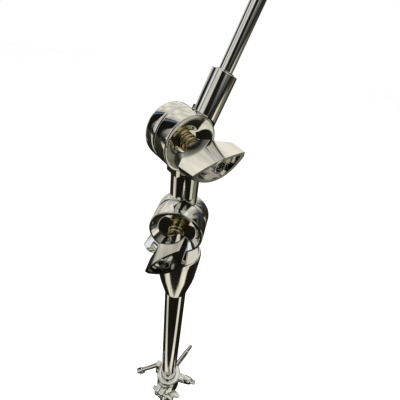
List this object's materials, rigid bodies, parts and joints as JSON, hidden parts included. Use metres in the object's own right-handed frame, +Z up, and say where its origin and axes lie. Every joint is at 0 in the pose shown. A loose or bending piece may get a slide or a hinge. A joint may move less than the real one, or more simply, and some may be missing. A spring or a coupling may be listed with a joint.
{
  "type": "cymbal boom stand",
  "caption": "Chrome boom stand that holds a cymbal: folding tripod, telescoping tubes, double tilter and a boom arm with a felt-washered post.",
  "frame": {"origin": "centre of the base tube's rubber plug where it meets the floor", "axes": "+Z up along the tubes; the picture's viewer stands on the -Y side, +X to the viewer's right"},
  "size_m": [0.5578, 0.5222, 1.9706],
  "materials": {
    "base_clamp": "polished chrome plate",
    "base_clamp_bolt": "polished chrome plate",
    "base_plug": "matt black moulded rubber",
    "base_tube": "polished chrome plate",
    "boom_holder": "polished chrome plate",
    "boom_rod": "polished chrome plate",
    "brace_1": "polished chrome plate",
    "brace_2": "polished chrome plate",
    "brace_3": "polished chrome plate",
    "brace_collar": "polished chrome plate",
    "cup_bolt": "polished chrome plate",
    "cymbal_tilter_base": "polished chrome plate",
    "cymbal_tilter_bolt": "polished chrome plate",
    "cymbal_tilter_head": "polished chrome plate",
    "foot_1": "matt black moulded rubber",
    "foot_2": "matt black moulded rubber",
    "foot_3": "matt black moulded rubber",
    "leg_1": "polished chrome plate",
    "leg_2": "polished chrome plate",
    "leg_3": "polished chrome plate",
    "leg_collar": "polished chrome plate",
    "leg_collar_bolt": "polished chrome plate",
    "lower_bolt": "satin zinc plate",
    "lower_collar": "polished brass",
    "lower_felt": "pressed wool felt",
    "lower_friction_disc": "moulded black nylon",
    "lower_wing_nut": "polished chrome plate",
    "memory_lock": "polished chrome plate",
    "memory_lock_bolt": "polished chrome plate",
    "middle_clamp": "polished chrome plate",
    "middle_clamp_bolt": "polished chrome plate",
    "middle_tube": "polished chrome plate",
    "nylon_sleeve": "moulded black nylon",
    "seat_washer": "satin zinc plate",
    "sleeve_bush": "moulded black nylon",
    "tilter_cup": "polished chrome plate",
    "tilter_link": "polished chrome plate",
    "top_wing_nut": "polished chrome plate",
    "upper_bolt": "satin zinc plate",
    "upper_collar": "polished brass",
    "upper_felt": "pressed wool felt",
    "upper_friction_disc": "moulded black nylon",
    "upper_tube": "polished chrome plate",
    "upper_wing_nut": "polished chrome plate"
  },
  "bodies": {
    "base": {"base_tube": "base_tube", "base_plug": "base_plug", "base_clamp": "base_clamp", "brace_collar": "brace_collar"},
    "leg_collar": {"leg_collar": "leg_collar"},
    "leg_collar_bolt": {"leg_collar_bolt": "leg_collar_bolt"},
    "base_clamp_bolt": {"base_clamp_bolt": "base_clamp_bolt"},
    "middle_tube": {"middle_tube": "middle_tube", "middle_clamp": "middle_clamp"},
    "middle_clamp_bolt": {"middle_clamp_bolt": "middle_clamp_bolt"},
    "upper_tube": {"upper_tube": "upper_tube", "memory_lock": "memory_lock"},
    "memory_lock_bolt": {"memory_lock_bolt": "memory_lock_bolt"},
    "tilter_cup": {"tilter_cup": "tilter_cup"},
    "cup_bolt": {"cup_bolt": "cup_bolt"},
    "tilter_link": {"tilter_link": "tilter_link", "lower_bolt": "lower_bolt", "lower_collar": "lower_collar", "lower_friction_disc": "lower_friction_disc"},
    "lower_wing_nut": {"lower_wing_nut": "lower_wing_nut"},
    "boom": {"boom_holder": "boom_holder", "sleeve_bush": "sleeve_bush", "boom_rod": "boom_rod", "upper_bolt": "upper_bolt", "upper_collar": "upper_collar", "upper_friction_disc": "upper_friction_disc", "cymbal_tilter_base": "cymbal_tilter_base"},
    "upper_wing_nut": {"upper_wing_nut": "upper_wing_nut"},
    "cymbal_tilter_bolt": {"cymbal_tilter_bolt": "cymbal_tilter_bolt"},
    "cymbal_head": {"cymbal_tilter_head": "cymbal_tilter_head", "seat_washer": "seat_washer", "nylon_sleeve": "nylon_sleeve", "lower_felt": "lower_felt", "upper_felt": "upper_felt"},
    "top_wing_nut": {"top_wing_nut": "top_wing_nut"},
    "leg_1": {"leg_1": "leg_1", "foot_1": "foot_1"},
    "brace_1": {"brace_1": "brace_1"},
    "leg_2": {"leg_2": "leg_2", "foot_2": "foot_2"},
    "brace_2": {"brace_2": "brace_2"},
    "leg_3": {"leg_3": "leg_3", "foot_3": "foot_3"},
    "brace_3": {"brace_3": "brace_3"}
  },
  "joints": [
    {"name": "leg_collar_slide", "type": "slide", "parent": "base", "child": "leg_collar", "axis": [0, 0, 1], "range_m": [0, 0.0814]},
    {"name": "leg_1_fold", "type": "hinge", "parent": "leg_collar", "child": "leg_1", "pos_m": [0.00431, -0.0307, 0.347], "axis": [0.9903, 0.1392, 0], "range_deg": [-0.5, 31.6]},
    {"name": "brace_1_fold", "type": "hinge", "parent": "base", "child": "brace_1", "pos_m": [0.00966, -0.02995, 0.052], "axis": [0.9903, 0.1392, 0], "range_deg": [-31.6, 0.5]},
    {"name": "leg_2_fold", "type": "hinge", "parent": "leg_collar", "child": "leg_2", "pos_m": [0.02443, 0.01909, 0.347], "axis": [-0.6157, 0.788, 0], "range_deg": [-0.5, 31.6]},
    {"name": "brace_2_fold", "type": "hinge", "parent": "base", "child": "brace_2", "pos_m": [0.0211, 0.02334, 0.052], "axis": [-0.6157, 0.788, 0], "range_deg": [-31.6, 0.5]},
    {"name": "leg_3_fold", "type": "hinge", "parent": "leg_collar", "child": "leg_3", "pos_m": [-0.02874, 0.01161, 0.347], "axis": [-0.3746, -0.9272, 0], "range_deg": [-0.5, 31.6]},
    {"name": "brace_3_fold", "type": "hinge", "parent": "base", "child": "brace_3", "pos_m": [-0.03077, 0.00661, 0.052], "axis": [-0.3746, -0.9272, 0], "range_deg": [-31.6, 0.5]},
    {"name": "leg_collar_bolt_turn", "type": "hinge", "parent": "leg_collar", "child": "leg_collar_bolt", "pos_m": [-0.01891, -0.01478, 0.347], "axis": [-0.788, -0.6157, 0], "continuous": true},
    {"name": "middle_tube_slide", "type": "slide", "parent": "base", "child": "middle_tube", "axis": [0, 0, 1], "range_m": [-0.19, 0.19]},
    {"name": "base_clamp_bolt_turn", "type": "hinge", "parent": "base", "child": "base_clamp_bolt", "pos_m": [-0.01482, -0.02747, 0.59], "axis": [0.5736, -0.8192, 0], "continuous": true},
    {"name": "upper_tube_slide", "type": "slide", "parent": "middle_tube", "child": "upper_tube", "axis": [0, 0, 1], "range_m": [0, 0.22]},
    {"name": "middle_clamp_bolt_turn", "type": "hinge", "parent": "middle_tube", "child": "middle_clamp_bolt", "pos_m": [0.00105, -0.02977, 0.948], "axis": [0.8988, -0.4384, 0], "continuous": true},
    {"name": "memory_lock_bolt_turn", "type": "hinge", "parent": "upper_tube", "child": "memory_lock_bolt", "pos_m": [0.03004, -0.0053, 0.9704], "axis": [0.9848, -0.1736, 0], "continuous": true},
    {"name": "tilter_swivel", "type": "hinge", "parent": "upper_tube", "child": "tilter_cup", "pos_m": [0, 0, 1.3], "axis": [0, 0, 1], "continuous": true},
    {"name": "cup_bolt_turn", "type": "hinge", "parent": "tilter_cup", "child": "cup_bolt", "pos_m": [-0.02113, 0.01837, 1.3], "axis": [-0.7547, 0.6561, 0], "continuous": true},
    {"name": "lower_tilt", "type": "hinge", "parent": "tilter_cup", "child": "tilter_link", "pos_m": [0, 0, 1.374], "axis": [0.1219, 0.9925, 0], "range_deg": [-75, 75]},
    {"name": "lower_wing_nut_turn", "type": "hinge", "parent": "tilter_link", "child": "lower_wing_nut", "pos_m": [-0.00487, -0.0397, 1.374], "axis": [0.1219, 0.9925, 0], "continuous": true},
    {"name": "upper_tilt", "type": "hinge", "parent": "tilter_link", "child": "boom", "pos_m": [-0.00149, -0.00134, 1.453], "axis": [-0.6691, 0.7431, 0], "range_deg": [-75, 60]},
    {"name": "upper_wing_nut_turn", "type": "hinge", "parent": "boom", "child": "upper_wing_nut", "pos_m": [0.01524, -0.01992, 1.453], "axis": [-0.6691, 0.7431, 0], "continuous": true},
    {"name": "cymbal_tilt", "type": "hinge", "parent": "boom", "child": "cymbal_head", "pos_m": [0.15479, 0.14207, 1.89259], "axis": [-0.6691, 0.7431, 0], "range_deg": [-60, 60]},
    {"name": "cymbal_tilter_bolt_turn", "type": "hinge", "parent": "boom", "child": "cymbal_tilter_bolt", "pos_m": [0.16282, 0.13315, 1.89259], "axis": [-0.6691, 0.7431, 0], "continuous": true},
    {"name": "top_nut_turn", "type": "hinge", "parent": "cymbal_head", "child": "top_wing_nut", "pos_m": [0.15279, 0.1443, 1.95259], "axis": [0, 0, 1], "continuous": true}
  ],
  "couplings": [
    {"joint": "leg_1_fold", "follows": "leg_collar_slide", "rad_per_m": 6.6679},
    {"joint": "brace_1_fold", "follows": "leg_collar_slide", "rad_per_m": -6.6679},
    {"joint": "leg_2_fold", "follows": "leg_collar_slide", "rad_per_m": 6.6679},
    {"joint": "brace_2_fold", "follows": "leg_collar_slide", "rad_per_m": -6.6679},
    {"joint": "leg_3_fold", "follows": "leg_collar_slide", "rad_per_m": 6.6679},
    {"joint": "brace_3_fold", "follows": "leg_collar_slide", "rad_per_m": -6.6679}
  ]
}
